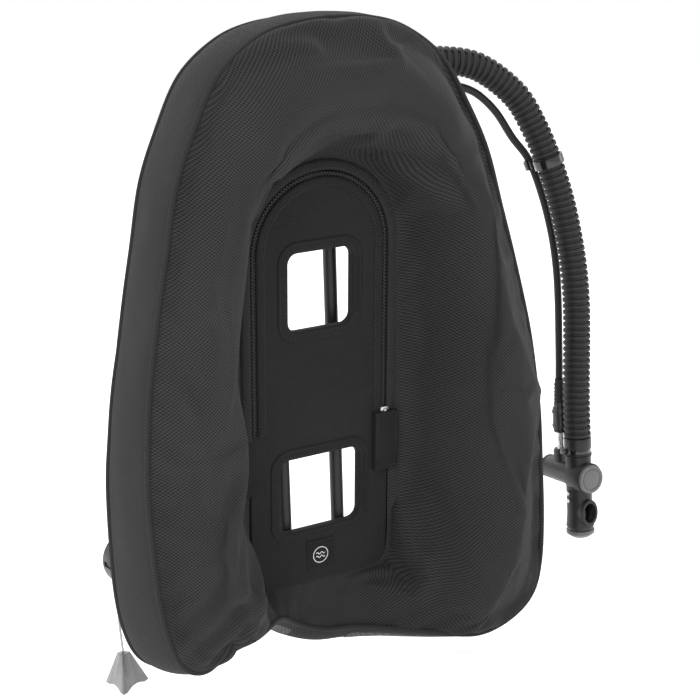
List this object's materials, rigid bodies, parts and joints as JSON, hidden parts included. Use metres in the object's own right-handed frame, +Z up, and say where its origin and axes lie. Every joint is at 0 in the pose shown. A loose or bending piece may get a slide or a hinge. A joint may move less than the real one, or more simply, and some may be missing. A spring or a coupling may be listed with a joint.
{
  "type": "scuba buoyancy wing",
  "caption": "Horseshoe buoyancy wing with padded lobes, zipped centre panel, tank slots, corrugated inflator hose, power inflator and rear dump valve.",
  "frame": {"origin": "middle of the centre panel, on its tank-facing cloth plane, halfway between the two tank-band slots", "axes": "+Z up, -Y towards the backplate and the wearer's back, +Y towards the tank, +X towards the inflator hose"},
  "size_m": [0.5454, 0.2027, 0.6333],
  "materials": {
    "cover_cloth": "coarse coated nylon weave",
    "piping": "woven piping tape",
    "bladder_film": "heat-sealed laminate",
    "binding_tape": "ribbed binding tape",
    "zip_cloth": "zip tape",
    "zip_nylon": "coiled nylon",
    "zip_metal": "worn satin",
    "label_cloth": "woven satin tape",
    "drain_mesh": "open mesh",
    "black_plastic": "fine satin",
    "rubber": "matte",
    "hose_rubber": "matte moulded",
    "tie_plastic": "glossy",
    "steel": "plated",
    "sleeve_metal": "dark knurled",
    "grey_plastic": "satin",
    "cord": "braided",
    "knob_plastic": "polished"
  },
  "bodies": {
    "cell": {"front_cover": "cover_cloth", "rear_cover": "cover_cloth", "side_gusset": "cover_cloth", "front_piping": "piping", "rear_piping": "piping", "air_bladder": "bladder_film", "centre_panel": "cover_cloth", "rear_panel": "cover_cloth", "slot_binding_upper": "binding_tape", "slot_binding_lower": "binding_tape", "zip_tape": "zip_cloth", "zip_teeth": "zip_nylon", "zip_garage": "cover_cloth", "zip_start_patch": "cover_cloth", "maker_label": "label_cloth", "drain_mesh": "drain_mesh", "stabiliser_rails": "black_plastic", "rail_sleeves": "binding_tape", "rail_end_caps": "black_plastic", "elbow_flange": "black_plastic", "elbow_gasket": "rubber", "elbow_nut": "black_plastic", "hose_elbow": "black_plastic", "hose_ties": "tie_plastic", "corrugated_hose": "hose_rubber", "hose_band": "tie_plastic", "lp_hose": "rubber", "lp_strain_relief": "rubber", "lp_socket": "steel", "lp_end_fitting": "steel", "inflator_collar": "black_plastic", "collar_band": "tie_plastic", "collar_rings": "black_plastic", "inflator_body": "black_plastic", "nipple": "steel", "valve_cap": "black_plastic", "body_screws": "steel", "mouthpiece": "black_plastic", "deflate_spring": "steel", "dump_base": "black_plastic", "dump_gasket": "rubber", "dump_spring": "steel", "dump_cap": "black_plastic"},
    "zip_runner": {"zip_slider": "zip_metal"},
    "inflate_plunger": {"inflate_button": "grey_plastic"},
    "deflate_plunger": {"deflate_button": "grey_plastic"},
    "lp_sleeve": {"qd_sleeve": "sleeve_metal"},
    "dump_pull": {"dump_cord": "cord", "dump_knob": "knob_plastic"},
    "dump_plate": {"dump_valve_plate": "black_plastic"}
  },
  "joints": [
    {"name": "zip_slide", "type": "slide", "parent": "cell", "child": "zip_runner", "axis": [0, -0.1219, 0.9925], "range_m": [0, 0.165]},
    {"name": "inflate_press", "type": "slide", "parent": "cell", "child": "inflate_plunger", "axis": [0, 1, 0], "range_m": [0, 0.003], "stiffness_N_per_m": 900, "springref_m": -0.002},
    {"name": "deflate_press", "type": "slide", "parent": "cell", "child": "deflate_plunger", "axis": [0, 0, 1], "range_m": [0, 0.0035], "stiffness_N_per_m": 700, "springref_m": -0.002, "deforming": ["deflate_spring"]},
    {"name": "sleeve_slide", "type": "slide", "parent": "cell", "child": "lp_sleeve", "axis": [0, 0, 1], "range_m": [0, 0.004], "stiffness_N_per_m": 1200, "springref_m": -0.002},
    {"name": "dump_pull_slide", "type": "slide", "parent": "cell", "child": "dump_pull", "axis": [0, 0, -1], "range_m": [0, 0.004], "stiffness_N_per_m": 1500, "springref_m": -0.003},
    {"name": "dump_plate_lift", "type": "slide", "parent": "cell", "child": "dump_plate", "axis": [0, 1, 0], "range_m": [0, 0.004], "deforming": ["dump_spring"]}
  ],
  "couplings": [
    {"joint": "dump_plate_lift", "follows": "dump_pull_slide", "ratio": 1}
  ]
}
